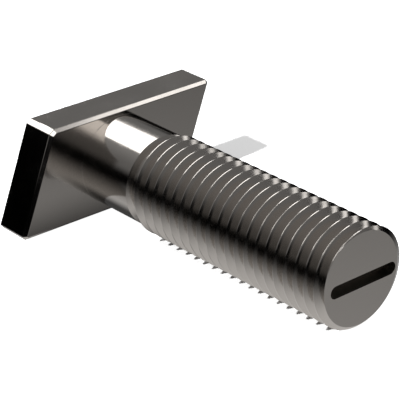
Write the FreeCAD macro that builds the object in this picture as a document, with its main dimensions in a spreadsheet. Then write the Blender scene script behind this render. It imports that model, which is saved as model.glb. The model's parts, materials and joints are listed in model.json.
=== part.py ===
import FreeCAD, Part
import math
import os
import Sketcher

# Hammer-head bolt lying on its side. The shank runs along +X from the head's bearing face,
# which is the plane X = 0, and the head's two long sides face straight up and down.

doc = FreeCAD.newDocument("hammer_head_bolt")

# Driving dimensions in millimetres, and the two angles in degrees
drivingSizes = {
    "thread_diameter": 16,
    "thread_pitch": 2,
    "bolt_length": 53,
    "plain_length": 10.6,
    "shoulder_angle": 17.5,
    "neck_fillet": 0.3,
    "head_length": 31.7,
    "head_width": 16.6,
    "head_thickness": 6.3,
    "end_lean": 20.5,
    "corner_cut": 0.65,
    "rim_chamfer": 0.5,
    "slot_length": 12.6,
    "slot_width": 1.95,
    "slot_depth": 2,
}
sheet = doc.addObject("Spreadsheet::Sheet", "Sizes")
for row, (name, value) in enumerate(drivingSizes.items(), start=1):
    sheet.set(f"A{row}", name)
    sheet.set(f"B{row}", str(value))
    sheet.setAlias(f"B{row}", name)
doc.recompute()

# The plain shank is as thick as the thread's pitch diameter, which lies 3/8 of the height
# of the thread's sharp triangle inside the major radius.
threadRadius = "Sizes.thread_diameter / 2"
shankRadius = "Sizes.thread_diameter / 2 - Sizes.thread_pitch * 3 * sqrt(3) / 16"

bolt = doc.addObject("PartDesign::Body", "t_bolt")
bolt.Label = "t_bolt"
origin = (-1, 1)    # geometry and point number of a sketch's own origin
quarterTurn = math.pi / 2
nearlyZero = 1e-4


def newSketch(name, planeRole):
    sketch = bolt.newObject("Sketcher::SketchObject", name)
    plane = next(feature for feature in bolt.Origin.OriginFeatures if feature.Role == planeRole)
    sketch.AttachmentSupport = [(plane, "")]
    sketch.MapMode = "FlatFace"
    return sketch


def addLine(sketch, start, end):
    segment = Part.LineSegment(FreeCAD.Vector(*start, 0), FreeCAD.Vector(*end, 0))
    return sketch.addGeometry(segment, False)


# Lines from corner to corner, each joined to the next
def addLines(sketch, corners):
    lines = [addLine(sketch, *ends) for ends in zip(corners, corners[1:])]
    for line, following in zip(lines, lines[1:]):
        sketch.addConstraint(Sketcher.Constraint("Coincident", line, 2, following, 1))
    return lines


def addArc(sketch, centre, radius, start, sweep):
    circle = Part.Circle(FreeCAD.Vector(*centre, 0), FreeCAD.Vector(0, 0, 1), radius)
    return sketch.addGeometry(Part.ArcOfCircle(circle, start, start + sweep), False)


# A dimension of a sketch, bound to the sheet
def addSize(sketch, name, expression, *constraint):
    value = sketch.evalExpression(expression)
    index = sketch.addConstraint(Sketcher.Constraint(*constraint, value))
    sketch.renameConstraint(index, name)
    sketch.setExpression(f"Constraints.{name}", expression)


# Names of a feature's edges that pass a test
def edgesOf(feature, test):
    edges = enumerate(feature.Shape.Edges, start=1)
    return [f"Edge{number}" for number, edge in edges if test(edge.BoundBox)]


# Head: a parallelogram plate behind the bearing face. Its ends lean, so that in a channel
# it turns about a quarter of the way round and stops against the channel's walls.
halfLength = sheet.head_length / 2
halfWidth = sheet.head_width / 2
shift = halfWidth * math.tan(math.radians(sheet.end_lean))
headOutline = newSketch("HeadOutline", "YZ_Plane")
lowerSide, rightEnd, upperSide, leftEnd = addLines(headOutline, [
    (-halfLength - shift, -halfWidth),
    (halfLength - shift, -halfWidth),
    (halfLength + shift, halfWidth),
    (-halfLength + shift, halfWidth),
    (-halfLength - shift, -halfWidth),
])
headOutline.addConstraint(Sketcher.Constraint("Coincident", leftEnd, 2, lowerSide, 1))
headOutline.addConstraint(Sketcher.Constraint("Horizontal", lowerSide))
headOutline.addConstraint(Sketcher.Constraint("Horizontal", upperSide))
headOutline.addConstraint(Sketcher.Constraint("Equal", lowerSide, upperSide))
headOutline.addConstraint(Sketcher.Constraint("Symmetric", lowerSide, 1, upperSide, 1, *origin))
addSize(headOutline, "length", "Sizes.head_length", "DistanceX", lowerSide, 1, lowerSide, 2)
addSize(headOutline, "width", "Sizes.head_width", "DistanceY", rightEnd, 1, rightEnd, 2)
addSize(headOutline, "slope", "(90 - Sizes.end_lean) * 1 deg", "Angle", rightEnd)

plate = bolt.newObject("PartDesign::Pad", "HeadPlate")
plate.Profile = headOutline
plate.setExpression("Length", "Sizes.head_thickness")
plate.Reversed = True
doc.recompute()

cornerCuts = bolt.newObject("PartDesign::Chamfer", "CornerCuts")
cornerCuts.Base = (plate, edgesOf(plate, lambda box: box.XLength > nearlyZero))
cornerCuts.setExpression("Size", "Sizes.corner_cut")
doc.recompute()

rimChamfer = bolt.newObject("PartDesign::Chamfer", "RimChamfer")
rimChamfer.Base = (cornerCuts, edgesOf(cornerCuts, lambda box: abs(box.XMin) < nearlyZero))
rimChamfer.setExpression("Size", "Sizes.rim_chamfer")
doc.recompute()

# Shank: one turned profile, from the fillet in the bearing face along the plain length and
# up a cone to the threaded length, which has the major diameter.
majorRadius = sheet.evalExpression(threadRadius)
minorRadius = sheet.evalExpression(shankRadius)
coneLength = (majorRadius - minorRadius) / math.tan(math.radians(sheet.shoulder_angle))
shankProfile = newSketch("ShankProfile", "XY_Plane")
neckLine, axisLine, cutEnd, threadLine, shoulder, plainLine = addLines(shankProfile, [
    (0, minorRadius + sheet.neck_fillet),
    (0, 0),
    (sheet.bolt_length, 0),
    (sheet.bolt_length, majorRadius),
    (sheet.plain_length + coneLength, majorRadius),
    (sheet.plain_length, minorRadius),
    (sheet.neck_fillet, minorRadius),
])
neckCentre = (sheet.neck_fillet, minorRadius + sheet.neck_fillet)
neckArc = addArc(shankProfile, neckCentre, sheet.neck_fillet, 2 * quarterTurn, quarterTurn)
shankProfile.addConstraint(Sketcher.Constraint("Tangent", neckArc, 1, neckLine, 1))
shankProfile.addConstraint(Sketcher.Constraint("Tangent", plainLine, 2, neckArc, 2))
shankProfile.addConstraint(Sketcher.Constraint("Coincident", axisLine, 1, *origin))
for line in (axisLine, threadLine, plainLine):
    shankProfile.addConstraint(Sketcher.Constraint("Horizontal", line))
for line in (neckLine, cutEnd):
    shankProfile.addConstraint(Sketcher.Constraint("Vertical", line))
addSize(shankProfile, "length", "Sizes.bolt_length", "DistanceX", axisLine, 1, axisLine, 2)
addSize(shankProfile, "plain", "Sizes.plain_length", "DistanceX", *origin, plainLine, 1)
addSize(shankProfile, "major", threadRadius, "DistanceY", cutEnd, 1, cutEnd, 2)
addSize(shankProfile, "minor", shankRadius, "DistanceY", *origin, plainLine, 1)
addSize(shankProfile, "fillet", "Sizes.neck_fillet", "Radius", neckArc)
addSize(shankProfile, "slope", "(180 + Sizes.shoulder_angle) * 1 deg", "Angle", shoulder)

shank = bolt.newObject("PartDesign::Revolution", "Shank")
shank.Profile = shankProfile
shank.ReferenceAxis = (shankProfile, ["H_Axis"])
shank.Angle = 360
doc.recompute()

# Slot: a shallow groove with round ends in the cut end. It lies along the head's long
# sides, so it shows how the head is turned when the channel hides it.
slotRadius = sheet.slot_width / 2
slotReach = sheet.slot_length / 2 - slotRadius
slotOutline = newSketch("SlotOutline", "YZ_Plane")
slotOutline.setExpression("AttachmentOffset.Base.z", "Sizes.bolt_length")
leftArc = addArc(slotOutline, (-slotReach, 0), slotRadius, quarterTurn, 2 * quarterTurn)
rightArc = addArc(slotOutline, (slotReach, 0), slotRadius, -quarterTurn, 2 * quarterTurn)
lowerWall = addLine(slotOutline, (-slotReach, -slotRadius), (slotReach, -slotRadius))
upperWall = addLine(slotOutline, (slotReach, slotRadius), (-slotReach, slotRadius))
for ends in (
    (leftArc, 2, lowerWall, 1),
    (lowerWall, 2, rightArc, 1),
    (rightArc, 2, upperWall, 1),
    (upperWall, 2, leftArc, 1),
):
    slotOutline.addConstraint(Sketcher.Constraint("Tangent", *ends))
slotOutline.addConstraint(Sketcher.Constraint("Equal", leftArc, rightArc))
slotOutline.addConstraint(Sketcher.Constraint("Horizontal", lowerWall))
slotOutline.addConstraint(Sketcher.Constraint("Symmetric", leftArc, 3, rightArc, 3, *origin))
addSize(slotOutline, "radius", "Sizes.slot_width / 2", "Radius", leftArc)
addSize(
    slotOutline, "centres", "Sizes.slot_length - Sizes.slot_width",
    "DistanceX", leftArc, 3, rightArc, 3,
)

slot = bolt.newObject("PartDesign::Pocket", "Slot")
slot.Profile = slotOutline
slot.setExpression("Length", "Sizes.slot_depth")
bolt.Tip = slot
doc.recompute()

for item in doc.Objects:
    if "Invalid" in item.State or "Error" in item.State:
        raise RuntimeError(f"{item.Label} did not build: {item.State}")
if bolt.Shape.isNull() or not bolt.Shape.isValid():
    raise RuntimeError("the bolt is not a valid solid")
if slot.Shape.Volume >= shank.Shape.Volume:
    raise RuntimeError("the slot cuts nothing")

os.makedirs("parts", exist_ok=True)
bolt.Shape.exportStep(f"parts/{bolt.Label}.step")
print(f"{bolt.Label}: {bolt.Shape.Volume / 1000:.3f} cm3, {len(bolt.Shape.Solids)} solid")
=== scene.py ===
import json
import math

import bmesh
import bpy
from mathutils import Matrix, Vector


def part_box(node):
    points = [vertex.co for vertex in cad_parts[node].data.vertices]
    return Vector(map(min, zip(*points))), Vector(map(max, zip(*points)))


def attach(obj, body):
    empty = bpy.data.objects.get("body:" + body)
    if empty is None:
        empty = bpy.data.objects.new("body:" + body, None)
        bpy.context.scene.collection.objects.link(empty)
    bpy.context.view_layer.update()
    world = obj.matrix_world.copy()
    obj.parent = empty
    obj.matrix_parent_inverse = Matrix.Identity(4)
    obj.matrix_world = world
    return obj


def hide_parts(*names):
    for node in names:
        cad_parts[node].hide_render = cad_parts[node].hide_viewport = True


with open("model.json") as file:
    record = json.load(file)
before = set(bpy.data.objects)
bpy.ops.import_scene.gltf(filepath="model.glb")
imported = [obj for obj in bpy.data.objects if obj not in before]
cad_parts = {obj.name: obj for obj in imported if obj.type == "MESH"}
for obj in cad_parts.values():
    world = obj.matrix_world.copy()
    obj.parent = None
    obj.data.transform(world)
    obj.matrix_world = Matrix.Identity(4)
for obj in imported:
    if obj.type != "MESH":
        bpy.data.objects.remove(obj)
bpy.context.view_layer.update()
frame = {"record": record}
mm = 0.001

scene = bpy.context.scene
scene.view_settings.view_transform = "Standard"

# The CAD model's own sizes. All sizes of the bolt are in millimetres until its mesh is scaled.
low, high = (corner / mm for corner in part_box("t_bolt"))
mounts = {mount["name"]: mount for mount in frame["record"]["mounts"]}
threadRadius = mounts["thread"]["dims"]["r_mm"]
print("frame: bolt", [round(side, 2) for side in high - low], "mm")


# A new node. Its inputs take values or the sockets that feed them, by name or number.
def addNode(tree, kind, inputs=None, **settings):
    node = tree.nodes.new(kind)
    for name, value in settings.items():
        setattr(node, name, value)
    for name, value in (inputs or {}).items():
        if isinstance(value, bpy.types.NodeSocket):
            tree.links.new(value, node.inputs[name])
        else:
            node.inputs[name].default_value = value
    return node


def addMath(tree, operation, *values):
    return addNode(
        tree, "ShaderNodeMath", dict(enumerate(values)), operation=operation
    ).outputs[0]


# A value from low to high, turned smoothly into 0 to 1 or the two values given
def addStep(tree, value, low, high, start=0.0, end=1.0):
    return addNode(
        tree, "ShaderNodeMapRange",
        {"Value": value, "From Min": low, "From Max": high, "To Min": start, "To Max": end},
        interpolation_type="SMOOTHSTEP",
    ).outputs["Result"]


# A point's own X, Y and Z in millimetres
def addPlace(tree):
    place = addNode(tree, "ShaderNodeTexCoord").outputs["Object"]
    scaled = addNode(
        tree, "ShaderNodeVectorMath", {0: place, "Scale": 1 / mm}, operation="SCALE"
    ).outputs["Vector"]
    return addNode(tree, "ShaderNodeSeparateXYZ", {0: scaled}).outputs[:]


# From the first value to the second as the share goes from 0 to 1
def addMix(tree, share, first, second):
    change = addMath(tree, "SUBTRACT", second, first)
    return addMath(tree, "MULTIPLY_ADD", share, change, first)


# A new node group with one output, and the sockets inside it
def newGroup(name, inputs, output):
    group = bpy.data.node_groups.new(name, "ShaderNodeTree")
    for label, value in inputs.items():
        kind = "NodeSocketVector" if isinstance(value, tuple) else "NodeSocketFloat"
        group.interface.new_socket(label, in_out="INPUT", socket_type=kind).default_value = value
    group.interface.new_socket(output, in_out="OUTPUT", socket_type="NodeSocketFloat")
    given = group.nodes.new("NodeGroupInput").outputs
    result = group.nodes.new("NodeGroupOutput").inputs[output]
    return group, given, result


def useGroup(tree, group, **inputs):
    return addNode(tree, "ShaderNodeGroup", inputs, node_tree=group).outputs[0]


scratchLook = {
    "detail": 3.0,
    "distortion": 0.3,
    "lineReach": 0.012,     # distance from the noise's middle at which a scratch has faded out
    "patchScale": 260.0,
    "patchDetail": 2.0,
    "patchFade": (0.45, 0.62),
}


# Hairline scratches, long in one direction and broken into patches
def scratchGroup():
    group, given, result = newGroup(
        "hairlineScratches", {"Stretch": (1.0, 1.0, 1.0), "Density": 600.0}, "Mask"
    )
    place = addNode(group, "ShaderNodeTexCoord").outputs["Object"]
    stretched = addNode(
        group, "ShaderNodeVectorMath", {0: place, 1: given["Stretch"]}, operation="MULTIPLY"
    ).outputs[0]
    lines = addNode(
        group, "ShaderNodeTexNoise",
        {"Vector": stretched, "Scale": given["Density"], "Detail": scratchLook["detail"],
         "Distortion": scratchLook["distortion"]},
    ).outputs["Fac"]
    fromMiddle = addMath(group, "ABSOLUTE", addMath(group, "SUBTRACT", lines, 0.5))
    thin = addStep(group, fromMiddle, 0.0, scratchLook["lineReach"], 1.0, 0.0)
    patches = addNode(
        group, "ShaderNodeTexNoise",
        {"Vector": place, "Scale": scratchLook["patchScale"], "Detail": scratchLook["patchDetail"]},
    ).outputs["Fac"]
    mask = addMath(group, "MULTIPLY", thin, addStep(group, patches, *scratchLook["patchFade"]))
    group.links.new(mask, result)
    return group


smudgeLook = {"detail": 4.0, "grain": 0.6, "fade": (0.35, 0.7)}


# Broad, soft variation, as a polished surface has where it was handled
def smudgeGroup():
    group, given, result = newGroup("handlingSmudges", {"Scale": 120.0}, "Mask")
    place = addNode(group, "ShaderNodeTexCoord").outputs["Object"]
    cloud = addNode(
        group, "ShaderNodeTexNoise",
        {"Vector": place, "Scale": given["Scale"], "Detail": smudgeLook["detail"],
         "Roughness": smudgeLook["grain"]},
    ).outputs["Fac"]
    group.links.new(addStep(group, cloud, *smudgeLook["fade"]), result)
    return group


toolMarkDetail = 2.0


# Fine marks of a tool. They follow one another along the coordinate, which is in metres.
def toolMarkGroup():
    group, given, result = newGroup("toolMarks", {"Coordinate": 0.0, "Frequency": 9000.0}, "Height")
    marks = addNode(
        group, "ShaderNodeTexNoise",
        {"W": addMath(group, "MULTIPLY", given["Coordinate"], given["Frequency"]),
         "Scale": 1.0, "Detail": toolMarkDetail},
        noise_dimensions="1D",
    ).outputs["Fac"]
    group.links.new(marks, result)
    return group


wearLook = {"detail": 3.0, "fade": (0.3, 0.6)}


# Wear on the head's broken edges and the crests' tops, whose faces have 1 in the attribute edge
def edgeWearGroup():
    group, given, result = newGroup("edgeWear", {"Scale": 900.0}, "Mask")
    edge = addNode(group, "ShaderNodeAttribute", attribute_name="edge").outputs["Fac"]
    place = addNode(group, "ShaderNodeTexCoord").outputs["Object"]
    grain = addNode(
        group, "ShaderNodeTexNoise",
        {"Vector": place, "Scale": given["Scale"], "Detail": wearLook["detail"]},
    ).outputs["Fac"]
    wear = addMath(group, "MULTIPLY", edge, addStep(group, grain, *wearLook["fade"]))
    group.links.new(wear, result)
    return group


groups = {
    "scratches": scratchGroup(),
    "smudges": smudgeGroup(),
    "toolMarks": toolMarkGroup(),
    "edgeWear": edgeWearGroup(),
}


# The bolt's steel, with its own values for each finish. The tool's marks follow one another
# along the bolt, or from its axis outwards.
def steel(name, finish, marksRun):
    material = bpy.data.materials.new(name)
    material.use_nodes = True
    tree = material.node_tree
    shader = tree.nodes["Principled BSDF"]
    scratches = useGroup(
        tree, groups["scratches"], Stretch=finish["scratchStretch"], Density=finish["scratchDensity"]
    )
    smudges = useGroup(tree, groups["smudges"], Scale=finish["smudgeScale"])
    wear = useGroup(tree, groups["edgeWear"], Scale=finish["wearScale"])
    place = addNode(tree, "ShaderNodeTexCoord").outputs["Object"]
    if marksRun == "along":
        coordinate = addNode(tree, "ShaderNodeSeparateXYZ", {0: place}).outputs["X"]
    else:
        radial = addNode(
            tree, "ShaderNodeVectorMath", {0: place, 1: (0.0, 1.0, 1.0)}, operation="MULTIPLY"
        ).outputs[0]
        coordinate = addNode(
            tree, "ShaderNodeVectorMath", {0: radial}, operation="LENGTH"
        ).outputs["Value"]
    marks = useGroup(
        tree, groups["toolMarks"], Coordinate=coordinate, Frequency=finish["marksPerMetre"]
    )
    colour = addNode(
        tree, "ShaderNodeMix",
        {"Factor": wear, "A": (*finish["colour"], 1.0), "B": (*finish["wornColour"], 1.0)},
        data_type="RGBA",
    )
    tree.links.new(colour.outputs["Result"], shader.inputs["Base Color"])
    shader.inputs["Metallic"].default_value = 1.0
    roughness = addMath(
        tree, "MULTIPLY_ADD", smudges, finish["smudgeRoughness"], finish["roughness"]
    )
    roughness = addMath(tree, "MULTIPLY_ADD", scratches, finish["scratchRoughness"], roughness)
    tree.links.new(roughness, shader.inputs["Roughness"])
    height = addMath(tree, "MULTIPLY", marks, finish["markDepth"])
    height = addMath(tree, "MULTIPLY_ADD", scratches, -finish["scratchDepth"], height)
    bump = addNode(tree, "ShaderNodeBump", {"Height": height, "Strength": 1.0, "Distance": mm})
    tree.links.new(bump.outputs["Normal"], shader.inputs["Normal"])
    return material


polishedFinish = {
    "colour": (0.41, 0.385, 0.36),
    "wornColour": (0.43, 0.405, 0.38),
    "roughness": 0.1,
    "smudgeScale": 120.0,
    "smudgeRoughness": 0.05,
    "scratchStretch": (0.15, 1.0, 1.0),
    "scratchDensity": 900.0,
    "scratchRoughness": 0.08,
    "scratchDepth": 0.0004,     # millimetres, as all depths
    "marksPerMetre": 16000.0,
    "markDepth": 0.00006,
    "wearScale": 900.0,
}
threadFinish = {
    **polishedFinish,
    "roughness": 0.13,
    "marksPerMetre": 22000.0,
    "markDepth": 0.0002,
}
cutFinish = {
    **polishedFinish,
    "roughness": 0.12,
    "scratchStretch": (1.0, 0.2, 1.0),
    "marksPerMetre": 14000.0,
    "markDepth": 0.0004,
}
# The slot's steel: rougher as cut, and much darker in colour, which is painted shade for the slot's
# recess
slotShadeAndFinish = {
    **cutFinish,
    "colour": (0.2, 0.185, 0.165),
    "wornColour": (0.24, 0.225, 0.2),
    "roughness": 0.3,
    "scratchDepth": 0.0,
    "markDepth": 0.0002,
}
materials = [
    steel("polishedSteel", polishedFinish, "along"),
    steel("rolledThread", threadFinish, "outwards"),
    steel("cutSteel", cutFinish, "outwards"),
    steel("slotSteelPaintedShade", slotShadeAndFinish, "along"),
]
polished, rolled, cut, slotted = range(4)
print("materials:", [material.name for material in materials])


onPlane = 1e-5      # a vertex nearer than this to a plane lies on it
touching = 1e-4     # vertices nearer than this to each other are one


# Head: a parallelogram plate with cut corners and a chamfered rim round the bearing face.
# All edges are slightly broken, so that they catch the light.
head = {
    "length": 31.7,     # along its sides. Its other sizes are the CAD model's.
    "lean": 20.5,       # of its two ends, in degrees
    "cornerCut": 0.65,
    "rimChamfer": 0.5,
    "edgeBreak": 0.06,
    "edgeSteps": 2,
}


# Corner points of the head's outline, anticlockwise seen from the thread
def headOutline():
    reach = head["length"] / 2
    shift = high.z * math.tan(math.radians(head["lean"]))
    corners = [
        Vector((-reach - shift, -high.z)),
        Vector((reach - shift, -high.z)),
        Vector((reach + shift, high.z)),
        Vector((shift - reach, high.z)),
    ]
    outline = []
    for before, corner, after in zip(corners[-1:] + corners[:-1], corners, corners[1:] + corners[:1]):
        for end in (before, after):
            outline.append(corner + (end - corner).normalized() * head["cornerCut"])
    return outline


# The outline with every side moved in by a distance
def insetOutline(outline, distance):
    moved = []
    count = len(outline)
    for index, point in enumerate(outline):
        incoming = (point - outline[index - 1]).normalized()
        outgoing = (outline[(index + 1) % count] - point).normalized()
        inward = Vector((-incoming.y - outgoing.y, incoming.x + outgoing.x))
        moved.append(point + inward * distance / (1 + incoming.dot(outgoing)))
    return moved


def addRing(body, x, outline):
    return [body.verts.new((x, y, z)) for y, z in outline]


def joinRings(body, first, second):
    count = len(first)
    return [
        body.faces.new((first[i], first[(i + 1) % count], second[(i + 1) % count], second[i]))
        for i in range(count)
    ]


def buildHead(body):
    outline = headOutline()
    back = addRing(body, low.x, outline)
    rim = addRing(body, -head["rimChamfer"], outline)
    front = addRing(body, 0, insetOutline(outline, head["rimChamfer"]))
    body.faces.new(reversed(back))
    joinRings(body, back, rim)
    joinRings(body, rim, front)
    body.faces.new(front)
    made = bmesh.ops.bevel(
        body, geom=body.edges[:], offset=head["edgeBreak"], segments=head["edgeSteps"],
        profile=0.5, affect="EDGES", clamp_overlap=True,
    )
    rounded = set(made["faces"])
    edge = body.faces.layers.float["edge"]
    for face in body.faces:
        face.smooth = face in rounded
        face[edge] = float(face in rounded)
        face.material_index = polished
    # The bearing face comes out, and closeFace makes it again with a hole for the neck
    bearing = max(body.faces, key=lambda face: face.normal.x * face.calc_area())
    body.faces.remove(bearing)


# Shank: the neck's fillet, the plain length, the step down at its end and the rolled thread
shank = {
    "neckFillet": 0.02,
    "plainLength": 10.6,
    "pitch": 2.0,
    "crestWidth": 0.12,
    "crestDrop": 0.15,      # rolled crests stay a little under the major radius
    "firstCrest": 12.23,    # where the helix of the first crest crosses the +Y side
    "crestStart": -0.42,    # turns from there, where the first crest begins to rise
    "crestFull": -0.28,     # and where it has its full height
    "flankAngle": 60,       # between a flank and the axis
    "tipBreak": 0.05,
    "wornDepth": 0.02,      # how far below the crests' tops they are worn
    "sides": 144,           # grid lines along the shank
    "filletSteps": 2,
    "rootAngles": (60, 40, 20),     # degrees from the rounded root's bottom to its grid lines
}
flankSlope = math.tan(math.radians(shank["flankAngle"]))
sharpHeight = shank["pitch"] / 2 * flankSlope       # of the thread's sharp triangle
plainRadius = threadRadius - sharpHeight * 3 / 8    # the thread's pitch radius
crestRadius = threadRadius - shank["crestDrop"]
crestHalf = shank["crestWidth"] / 2
rootRound = sharpHeight / 6                         # radius of the rounded root
rootHalf = rootRound * math.cos(math.radians(90 - shank["flankAngle"]))
rootEdge = (shank["pitch"] / 2 - rootHalf - crestHalf) * flankSlope     # depth of the flanks
rootDepth = rootEdge + rootRound / 2
grooveRadius = crestRadius - rootDepth
stepLength = (plainRadius - grooveRadius) / flankSlope


def smoothStep(value):
    value = min(max(value, 0.0), 1.0)
    return value * value * (3 - 2 * value)


# Radius of the neck's fillet and of the plain length
def plainProfile(x):
    fillet = shank["neckFillet"]
    if x < fillet:
        return plainRadius + fillet - math.sqrt(max(fillet ** 2 - (fillet - x) ** 2, 0.0))
    return plainRadius


# Depth of the groove at a distance from the middle of a crest: flank, then rounded root
def grooveDepth(distance):
    toMiddle = shank["pitch"] / 2 - distance
    if toMiddle < rootHalf:
        return rootDepth - rootRound + math.sqrt(rootRound ** 2 - toMiddle ** 2)
    return max(distance - crestHalf, 0.0) * flankSlope


# Radius at X, and at a turn round the axis. Past the plain length the surface steps down to
# the groove, and the crests rise out of that.
def shankRadius(x, turn):
    if x <= shank["plainLength"] + onPlane:
        return plainProfile(x)
    phase = (x - shank["firstCrest"]) / shank["pitch"] - turn
    crest = math.floor(phase + 0.5)
    height = rootDepth - grooveDepth(abs(phase - crest) * shank["pitch"])
    rise = (crest + turn - shank["crestStart"]) / (shank["crestFull"] - shank["crestStart"])
    step = plainRadius - (x - shank["plainLength"]) * flankSlope
    tip = crestRadius - max(x - high.x + shank["tipBreak"], 0.0)
    return min(max(step, grooveRadius + height * smoothStep(rise)), tip)


# Distances from a crest's middle at which the grid has a line
def threadRows():
    flankMiddle = (crestHalf + shank["pitch"] / 2 - rootHalf) / 2
    near = [crestHalf, flankMiddle]
    for angle in shank["rootAngles"]:
        near.append(shank["pitch"] / 2 - rootRound * math.sin(math.radians(angle)))
    return near + [shank["pitch"] / 2] + [shank["pitch"] - row for row in reversed(near)]


# The shank is laid out flat, as a grid whose lines follow the helix, cut to length and at
# its rings, and then rolled up.
def buildShank():
    flat = bmesh.new()
    sides = shank["sides"]
    firstTurn = math.floor(-shank["firstCrest"] / shank["pitch"]) - 1
    lastTurn = math.ceil((high.x - shank["firstCrest"]) / shank["pitch"])
    starts = [
        shank["firstCrest"] + turn * shank["pitch"] + row
        for turn in range(firstTurn, lastTurn + 1) for row in threadRows()
    ]
    lines = [
        [flat.verts.new((start + shank["pitch"] * side / sides, side / sides, 0))
         for side in range(sides + 1)]
        for start in starts
    ]
    for line, following in zip(lines, lines[1:]):
        for side in range(sides):
            flat.faces.new((line[side], following[side], following[side + 1], line[side + 1]))

    fillet = shank["neckFillet"]
    steps = shank["filletSteps"]
    rings = [fillet * (1 - math.cos(math.pi / 2 * step / steps)) for step in range(1, steps + 1)]
    rings += [
        shank["plainLength"], shank["plainLength"] + stepLength, high.x - shank["tipBreak"],
    ]
    for x in [0, *rings, high.x]:
        bmesh.ops.bisect_plane(
            flat, geom=flat.verts[:] + flat.edges[:] + flat.faces[:], dist=onPlane,
            plane_co=(x, 0, 0), plane_no=(1, 0, 0), clear_inner=x == 0, clear_outer=x == high.x,
        )
    for vertex in flat.verts:
        x, turn, _ = vertex.co
        radius = shankRadius(x, turn)
        angle = math.tau * turn
        vertex.co = (x, radius * math.cos(angle), radius * math.sin(angle))
    bmesh.ops.remove_doubles(flat, verts=flat.verts[:], dist=touching)
    bmesh.ops.dissolve_degenerate(flat, edges=flat.edges[:], dist=touching)
    edge = flat.faces.layers.float.new("edge")
    for face in flat.faces:
        face.smooth = True
        middle = face.calc_center_median()
        face[edge] = float(math.hypot(middle.y, middle.z) > crestRadius - shank["wornDepth"])
        face.material_index = rolled if middle.x > shank["plainLength"] else polished
    mesh = bpy.data.meshes.new("shankGrid")
    flat.to_mesh(mesh)
    flat.free()
    return mesh


# Slot in the cut end: a groove with round ends and a flat floor
slot = {
    "length": 12.6,
    "width": 1.95,
    "depth": 2.0,
    "edgeBreak": 0.01,
    "endSteps": 16,
}


def slotOutline(margin):
    radius = slot["width"] / 2 + margin
    reach = (slot["length"] - slot["width"]) / 2
    steps = slot["endSteps"]
    outline = []
    for side, start in ((1, -90), (-1, 90)):
        for step in range(steps + 1):
            angle = math.radians(start + 180 * step / steps)
            outline.append((side * reach + radius * math.cos(angle), radius * math.sin(angle)))
    return outline


def buildSlot(body):
    mouth = addRing(body, high.x, slotOutline(slot["edgeBreak"]))
    wallTop = addRing(body, high.x - slot["edgeBreak"], slotOutline(0))
    wallFoot = addRing(body, high.x - slot["depth"], slotOutline(0))
    faces = joinRings(body, mouth, wallTop) + joinRings(body, wallTop, wallFoot)
    for face in faces:
        face.smooth = True
    floor = body.faces.new(wallFoot)
    # The slot's faces take the darker steel, painted shade in the recess
    for face in faces + [floor]:
        face.material_index = slotted


# Whether an edge lies in the plane across the bolt at X
def liesAt(edge, x):
    return all(abs(vertex.co.x - x) < touching for vertex in edge.verts)


# Fills the flat face at one end of the shank, between the open rings that lie there
def closeFace(body, x, material):
    border = [edge for edge in body.edges if edge.is_boundary and liesAt(edge, x)]
    made = bmesh.ops.triangle_fill(body, use_beauty=True, edges=border, normal=(1, 0, 0))
    for item in made["geom"]:
        if isinstance(item, bmesh.types.BMFace):
            item.smooth = False
            item.material_index = material


sharpAngle = 40     # faces that meet at this many degrees or more aren't shaded as one


def buildBolt():
    body = bmesh.new()
    body.faces.layers.float.new("edge")
    buildHead(body)
    body.from_mesh(buildShank())
    buildSlot(body)
    closeFace(body, 0, polished)
    closeFace(body, high.x, cut)
    bmesh.ops.recalc_face_normals(body, faces=body.faces[:])
    for edge in body.edges:
        bent = edge.calc_face_angle(0) >= math.radians(sharpAngle)
        edge.smooth = not (bent or liesAt(edge, shank["plainLength"]))
    openEdges = [edge for edge in body.edges if not edge.is_manifold]
    print("bolt:", len(body.faces), "faces,", len(openEdges), "open edges,",
          round(body.calc_volume() / 1000, 3), "cm3")
    bmesh.ops.transform(body, matrix=Matrix.Scale(mm, 4), verts=body.verts[:])
    mesh = bpy.data.meshes.new("hammerHeadBolt")
    body.to_mesh(mesh)
    body.free()
    for material in materials:
        mesh.materials.append(material)
    bolt = bpy.data.objects.new("hammerHeadBolt", mesh)
    scene.collection.objects.link(bolt)
    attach(bolt, "root")
    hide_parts("t_bolt")


buildBolt()


# Floor: white where the camera sees it, and not mirrored by the steel. For the camera it glows
# a little behind the bolt, where the shadow stays, and enough in front and past the end to wash
# the shadow out. Beside the thread it doesn't glow, so the crests throw sharp teeth on it.
floorLook = {
    "size": 6.0,    # metres. All other places and borders are in millimetres.
    "colour": (0.98, 0.98, 0.98),
    "glowBehind": 0.25,
    "glowInFront": 0.95,
    "frontReach": (1.0, -1.5),
    "endReach": (34.0, 44.0),
    "glowBeside": 0.0,
    "besideThread": {
        "left": (12.0, 13.5), "right": (50.8, 50.3), "front": (-4.0, -3.5), "back": (-0.4, -1.2),
    },
}


def addPanel(name, corners, material):
    mesh = bpy.data.meshes.new(name)
    mesh.from_pydata([Vector(corner) for corner in corners], [], [range(len(corners))])
    mesh.materials.append(material)
    panel = bpy.data.objects.new(name, mesh)
    scene.collection.objects.link(panel)
    return panel


# A level square at a depth below the floor in millimetres, with its size in metres
def levelCorners(size, depth):
    half = size / 2
    level = (low.z - depth) * mm
    return [(-half, -half, level), (half, -half, level), (half, half, level), (-half, half, level)]


# 1 inside a rectangle and 0 outside. Each border fades in from its first to its second value.
def addPatch(tree, along, across, patch):
    share = addStep(tree, along, *patch["left"])
    for place, border in ((along, "right"), (across, "front"), (across, "back")):
        share = addMath(tree, "MULTIPLY", share, addStep(tree, place, *patch[border]))
    return share


# 1 for rays that show the white background, which are those of the camera and of glass
def addBackgroundRay(tree):
    path = addNode(tree, "ShaderNodeLightPath").outputs
    return addMath(tree, "MAXIMUM", path["Is Camera Ray"], path["Is Transmission Ray"])


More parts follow.
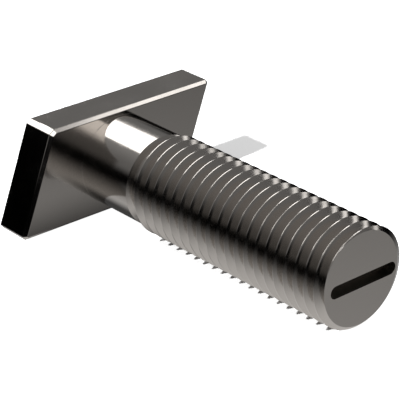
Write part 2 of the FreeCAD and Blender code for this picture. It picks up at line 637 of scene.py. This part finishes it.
def buildFloor():
    material = bpy.data.materials.new("whiteFloor")
    material.use_nodes = True
    tree = material.node_tree
    shader = tree.nodes["Principled BSDF"]
    shader.inputs["Base Color"].default_value = (*floorLook["colour"], 1)
    shader.inputs["Roughness"].default_value = 1.0
    shader.inputs["Specular IOR Level"].default_value = 0.0
    shader.inputs["Emission Color"].default_value = (1, 1, 1, 1)
    along, across = addPlace(tree)[:2]
    front = addMath(
        tree, "MAXIMUM", addStep(tree, across, *floorLook["frontReach"]),
        addStep(tree, along, *floorLook["endReach"]),
    )
    glow = addMix(tree, front, floorLook["glowBehind"], floorLook["glowInFront"])
    beside = addPatch(tree, along, across, floorLook["besideThread"])
    glow = addMix(tree, beside, glow, floorLook["glowBeside"])
    tree.links.new(
        addMath(tree, "MULTIPLY", addBackgroundRay(tree), glow), shader.inputs["Emission Strength"]
    )
    floor = addPanel("floor", levelCorners(floorLook["size"], 0), material)
    floor.visible_glossy = False
    floor.visible_shadow = False


buildFloor()


# Shade under the head and the plain shank, as the steel mirrors it: a clear card that darkens
# the studio seen through it. It lies below the floor, which mirrors look through, and only
# mirrors see it.
shadeCard = {
    "size": 0.2,    # metres, and the rest in millimetres
    "depth": 10.0,
    "strength": 0.9,
    "left": (-45.0, -25.0),
    "right": (28.0, 11.0),
    "front": (-16.0, -5.0),
    "back": (45.0, 25.0),
}


def buildShade():
    material = bpy.data.materials.new("shadeCard")
    material.use_nodes = True
    tree = material.node_tree
    tree.nodes.remove(tree.nodes["Principled BSDF"])
    along, across = addPlace(tree)[:2]
    shade = addPatch(tree, along, across, shadeCard)
    shade = addMath(tree, "MULTIPLY", shade, shadeCard["strength"])
    clear = addNode(
        tree, "ShaderNodeBsdfTransparent", {"Color": addMath(tree, "SUBTRACT", 1.0, shade)}
    )
    tree.links.new(clear.outputs[0], tree.nodes["Material Output"].inputs["Surface"])
    corners = levelCorners(shadeCard["size"], shadeCard["depth"])
    panel = addPanel("shadeCard", corners, material)
    panel.visible_camera = False
    panel.visible_diffuse = False
    panel.visible_shadow = False


buildShade()


# Lights: a small key lamp that throws the shadow, and lamps that the steel mirrors. Two large
# softboxes face straight down, and two small lamps face the bolt from behind on the right.
# Places and sizes are in millimetres, turns in degrees.
lights = {
    "key": {"from": (0.0646, -0.6818, 0.7287), "strength": 3.9, "angle": 2.0},
    "mirrored": {
        "leftSoftbox": {
            "centre": (-1300, 355, 1200), "size": (595, 1548), "turn": (0, 0, -9.8), "radiance": 3.6,
        },
        "rightSoftbox": {
            "centre": (1090, -380, 1200), "size": (700, 1250), "turn": (0, 0, 0), "radiance": 2.6,
        },
        "rimLamp": {
            "centre": (523, 878, 967), "size": (250, 200), "turn": (46, 0, 149), "radiance": 2.15,
        },
        "backLamp": {
            "centre": (668, 1206, 243), "size": (160, 200), "turn": (80, 0, 151), "radiance": 2.0,
        },
    },
}


def buildLights():
    lamp = bpy.data.lights.new("keyLamp", "SUN")
    lamp.energy = lights["key"]["strength"]
    lamp.angle = math.radians(lights["key"]["angle"])
    key = bpy.data.objects.new("keyLamp", lamp)
    key.rotation_euler = Vector(lights["key"]["from"]).to_track_quat("Z", "Y").to_euler()
    key.visible_glossy = False
    scene.collection.objects.link(key)
    for name, box in lights["mirrored"].items():
        lamp = bpy.data.lights.new(name, "AREA")
        lamp.shape = "RECTANGLE"
        lamp.size, lamp.size_y = (side * mm for side in box["size"])
        lamp.energy = box["radiance"] * math.pi * lamp.size * lamp.size_y
        panel = bpy.data.objects.new(name, lamp)
        panel.location = Vector(box["centre"]) * mm
        panel.rotation_euler = [math.radians(angle) for angle in box["turn"]]
        panel.visible_diffuse = False
        scene.collection.objects.link(panel)


buildLights()


# World: the studio that the steel mirrors, pale below and above and black at the horizon, and
# white where the camera sees it. The fades go by the height of the direction, which is 0 at
# the horizon, 1 straight up and -1 straight down.
studio = {
    "ground": {"level": 0.9, "fade": (-0.1, -0.88)},
    "walls": {"level": 0.23, "fade": (0.05, 0.33)},
    "ceiling": {"level": 0.38, "fade": (0.35, 0.98)},
}


def buildWorld():
    world = bpy.data.worlds.new("studio")
    world.use_nodes = True
    scene.world = world
    tree = world.node_tree
    direction = addNode(tree, "ShaderNodeTexCoord").outputs["Generated"]
    height = addNode(tree, "ShaderNodeSeparateXYZ", {0: direction}).outputs["Z"]
    bright = addBackgroundRay(tree)
    for part in studio.values():
        share = addStep(tree, height, *part["fade"], 0.0, part["level"])
        bright = addMath(tree, "ADD", bright, share)
    tree.links.new(bright, tree.nodes["Background"].inputs["Strength"])
    tree.nodes["Background"].inputs["Color"].default_value = (1, 1, 1, 1)


buildWorld()


# Camera, in millimetres
view = {
    "location": (204.83, -162.5, 119.58),
    "aim": (19.37, -0.26, 0),
    "lens": 165.57,
    "clipStart": 10.0,
}


def buildCamera():
    cameraData = bpy.data.cameras.new("camera")
    cameraData.lens = view["lens"]
    cameraData.clip_start = view["clipStart"] * mm
    camera = bpy.data.objects.new("camera", cameraData)
    camera.location = Vector(view["location"]) * mm
    sight = Vector(view["aim"]) - Vector(view["location"])
    camera.rotation_euler = sight.to_track_quat("-Z", "Y").to_euler()
    scene.collection.objects.link(camera)
    scene.camera = camera


buildCamera()
print("studio: floor, card, lights and camera")
